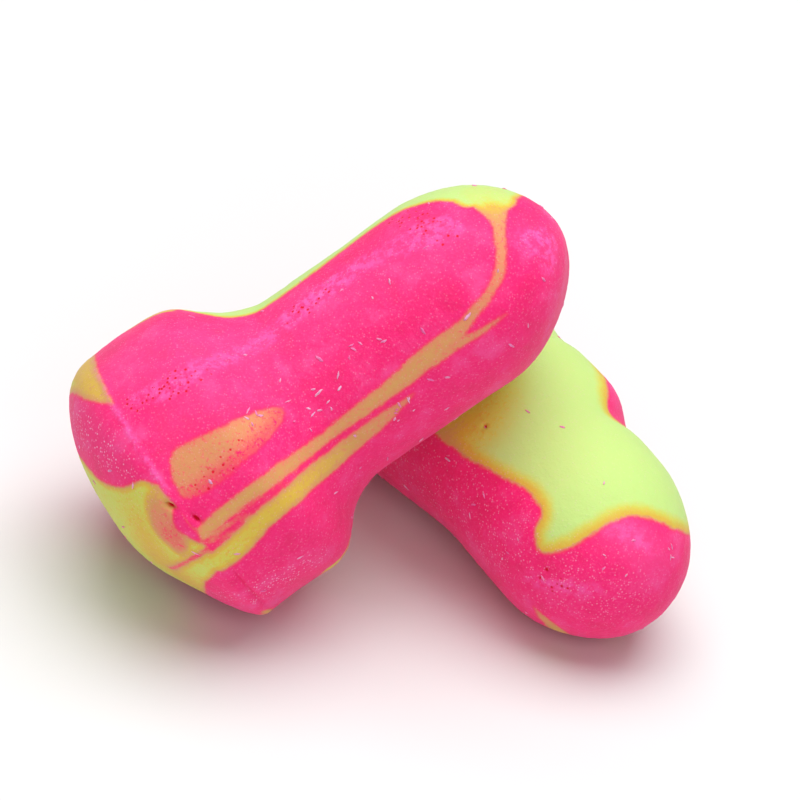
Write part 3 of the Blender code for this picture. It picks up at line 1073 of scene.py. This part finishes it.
# The yellow side of the stem, with a tongue of it hanging into the pink.
lower_marble.yellow_patch([
    (17, 250), (19.2, 249), (19.9, 247), (20.9, 245), (23.2, 237), (24.8, 231.5), (25.9, 231.5),
    (26.4, 234.5), (26.7, 243), (27.4, 250), (28.1, 247), (28.7, 235), (29.0, 220), (29.1, 205),
    (29.4, 188), (30.1, 170), (30.5, 150), (30.3, 127), (29.4, 108), (27, 92), (22, 84), (17, 92),
    (12.5, 120), (12, 160), (12.5, 200), (14, 235),
], 1.0)
lower_marble.pink_patch([
    (19.6, 133), (20.9, 141), (21.5, 144.5), (22.1, 148), (22.6, 150), (22.9, 144), (22.8, 132),
    (22.2, 115), (20.4, 104), (18.6, 108), (18.4, 122),
])
# Painted shade and painted bounce light: the veil turns the yellow amber near the upper plug, where that
# plug shades it and throws pink light onto it.
lower_marble.veil_stroke([
    (17.6, 196, 0.8, 0.05), (18.8, 210, 1.2, 0.09), (19.6, 226, 1.2, 0.12), (19.2, 242, 0.7, 0.24),
], 1.8)
lower_marble.yellow_stroke([
    (28.4, 291, 0.05, 0.70), (28.9, 299, 0.35, 0.78), (29.2, 308, 0.50, 0.85), (29.3, 318, 0.60, 0.90),
    (29.2, 332, 0.30, 0.90),
])
# Swirls of the far side, the underside and the hidden base.
lower_marble.yellow_stroke([
    (8, 20, 0.8, 0.90), (13, 12, 0.9, 0.90), (18, 20, 0.7, 0.85), (23, 30, 0.5, 0.80),
    (28, 26, 0.4, 0.75), (31, 5, 0.3, 0.70),
])
lower_marble.yellow_patch([
    (2.5, 215), (3.2, 180), (4.8, 152), (7, 138), (9.6, 150), (10.8, 185), (10.3, 220), (8.6, 246),
    (5.6, 252), (3.6, 240),
], 0.95)
lower_marble.yellow_stroke([
    (6.8, 300, 0.06, 0.68), (5.4, 318, 0.24, 0.74), (4.4, 350, 0.32, 0.76), (4.8, 385, 0.26, 0.74),
    (6.4, 408, 0.16, 0.70), (8.0, 418, 0.04, 0.64),
])
lower_marble.yellow_stroke([
    (31.6, 62, 0.06, 0.68), (30.0, 72, 0.26, 0.74), (27.0, 64, 0.34, 0.77), (23.5, 58, 0.30, 0.76),
    (19.5, 60, 0.22, 0.73), (15.8, 70, 0.06, 0.66),
])
lower_marble.pink_stroke([
    (28.8, 112, 0.02), (26.8, 103, 0.18), (24, 98, 0.26), (20.5, 97, 0.20), (17, 104, 0.14),
    (14.2, 117, 0.03),
])
lower_clear = off_the_floor(lower_points)
# Painted light: the pink is painted paler over the lit tip and the flange's corner, and the first bloom
# stroke is a painted lilac highlight on the tip; the second is scuffed skin.
lower_marble.paint(lower_foam.data, {
    "hollow": lower_dark,
    "pale": lower_marble.wash([
        [(29.6, 206, 0.8, 0.8), (30.4, 196, 1.0, 1.0), (31.6, 185, 1.2, 0.9)],
        [(20.4, 130, 1.0, 0.7), (21.6, 140, 0.8, 0.7)],
    ], 1.2) + 0.05,
    "bloom_and_highlight": lower_marble.wash([
        [(29.4, 206, 0.3, 0.45), (30.1, 198, 0.5, 0.55), (31.0, 188, 0.4, 0.45)],
        [(27.6, 270, 0.2, 0.5), (29.3, 262, 0.3, 0.7), (31.0, 250, 0.3, 0.5)],
    ], 0.5),
    "pores": lower_marble.wash([
        [(28.0, 255, 0.5, 0.15), (29.5, 262, 0.5, 0.15)],
    ], 0.4) + 0.008,
    "frost": lower_marble.wash([
        [(17, 280, 2.0, 0.5), (24, 262, 2.5, 0.5), (28, 265, 2.0, 0.5), (32, 240, 2.0, 0.4)],
    ], 1.0) + 0.15,
    "flakes": lower_marble.wash([
        [(22.0, 262, 0.8, 0.5), (25, 255, 1.0, 0.6), (28, 262, 0.8, 0.5)],
        [(30.4, 215, 0.6, 0.4), (31.5, 150, 0.6, 0.5)],
    ], 0.6) * lower_clear + 0.04 * lower_clear,
})
lower_foam.data.materials.append(foam("yellow_foam", edge=0.2, glow=1.0, ragged=0.3))
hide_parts("lower_plug")
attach(lower_foam, "lower")

lower_flakes = flakes_on(
    lower_foam, "lower_plug_torn_skin", torn_skin,
    {**FLAKES, "Length": 0.00020, "Width": 0.00006, "Seed": 9},
)
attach(lower_flakes, "lower")
